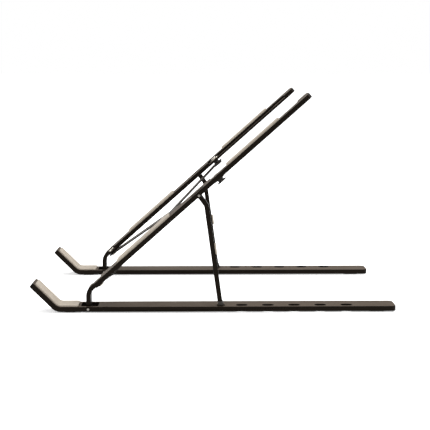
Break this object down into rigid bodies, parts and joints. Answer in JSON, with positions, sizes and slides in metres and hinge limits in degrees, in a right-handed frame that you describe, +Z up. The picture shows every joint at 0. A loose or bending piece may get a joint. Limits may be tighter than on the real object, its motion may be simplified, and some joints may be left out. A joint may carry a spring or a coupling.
{
  "type": "laptop stand",
  "caption": "Folding laptop stand: two hooked base rails with hinged support arms and slotted height legs, joined by a scissor link that closes them side by side.",
  "frame": {"origin": "on the ground, under the middle of the stand", "axes": "+X from the hooks to the rear ends of the rails, +Y from the right-hand frame to the left-hand frame, +Z up"},
  "size_m": [0.266, 0.165, 0.1586],
  "materials": {
    "anodised": "satin dark bronze anodised",
    "silicone": "matte moulded silicone, fine ribs",
    "foot_rubber": "matte",
    "steel": "polished",
    "nylon": "moulded, satin",
    "link_paint": "satin dark"
  },
  "bodies": {
    "right_frame": {"right_base_rail": "anodised", "right_hook_pad": "silicone", "right_front_foot": "foot_rubber", "right_rear_foot": "foot_rubber", "right_hinge_pin": "steel"},
    "right_arm": {"right_support_arm": "anodised", "right_lower_pad": "silicone", "right_upper_pad": "silicone", "right_leg_pin": "steel", "right_foot_rivet": "steel"},
    "right_leg": {"right_support_leg": "anodised", "right_leg_bumper": "silicone", "right_leg_tip": "nylon"},
    "right_slider": {"right_slider_shoe": "steel", "right_slider_rivet": "steel", "right_slider_spacer": "nylon", "right_slider_knob": "nylon"},
    "left_frame": {"left_base_rail": "anodised", "left_hook_pad": "silicone", "left_front_foot": "foot_rubber", "left_rear_foot": "foot_rubber", "left_hinge_pin": "steel"},
    "left_arm": {"left_support_arm": "anodised", "left_lower_pad": "silicone", "left_upper_pad": "silicone", "left_leg_pin": "steel", "left_foot_rivet": "steel"},
    "left_leg": {"left_support_leg": "anodised", "left_leg_bumper": "silicone", "left_leg_tip": "nylon"},
    "left_slider": {"left_slider_shoe": "steel", "left_slider_rivet": "steel", "left_slider_spacer": "nylon", "left_slider_knob": "nylon"},
    "link_b": {"link_bar_b": "link_paint", "centre_rivet": "steel"},
    "link_a": {"link_bar_a": "link_paint"}
  },
  "joints": [
    {"name": "arm_lift", "type": "hinge", "parent": "right_frame", "child": "right_arm", "pos_m": [-0.09087, -0.0725, 0.0027], "axis": [0, -1, 0], "range_deg": [0, 48]},
    {"name": "link_fold", "type": "hinge", "parent": "right_arm", "child": "link_b", "pos_m": [-0.08186, -0.068, 0.01795], "axis": [0.6639, 0, -0.7478], "range_deg": [0, 45.46]},
    {"name": "link_cross", "type": "hinge", "parent": "link_b", "child": "link_a", "pos_m": [-0.03852, 0, 0.0571], "axis": [0.6639, 0, -0.7478], "range_deg": [-90.92, 0]},
    {"name": "left_foot_pivot", "type": "hinge", "parent": "link_a", "child": "left_arm", "pos_m": [-0.08252, 0.068, 0.0187], "axis": [0.6639, 0, -0.7478], "range_deg": [0, 45.46]},
    {"name": "left_rail_hinge", "type": "hinge", "parent": "left_arm", "child": "left_frame", "pos_m": [-0.09087, 0.0725, 0.0027], "axis": [0, -1, 0], "range_deg": [-48, 0]},
    {"name": "right_slider_pivot", "type": "hinge", "parent": "link_a", "child": "right_slider", "pos_m": [0.00482, -0.068, 0.09625], "axis": [0.6639, 0, -0.7478], "range_deg": [0, 45.46]},
    {"name": "left_slider_pivot", "type": "hinge", "parent": "link_b", "child": "left_slider", "pos_m": [0.00548, 0.068, 0.0955], "axis": [0.6639, 0, -0.7478], "range_deg": [-45.46, 0]},
    {"name": "right_leg_swing", "type": "hinge", "parent": "right_arm", "child": "right_leg", "pos_m": [-0.01038, -0.0725, 0.0855], "axis": [0, -1, 0], "range_deg": [0, 60]},
    {"name": "left_leg_swing", "type": "hinge", "parent": "left_arm", "child": "left_leg", "pos_m": [-0.01038, 0.0725, 0.0855], "axis": [0, -1, 0], "range_deg": [0, 60]}
  ],
  "couplings": [
    {"joint": "link_cross", "follows": "link_fold", "ratio": -2},
    {"joint": "left_foot_pivot", "follows": "link_fold", "ratio": 1},
    {"joint": "right_slider_pivot", "follows": "link_fold", "ratio": 1},
    {"joint": "left_slider_pivot", "follows": "link_fold", "ratio": -1},
    {"joint": "left_rail_hinge", "follows": "arm_lift", "ratio": -1}
  ]
}
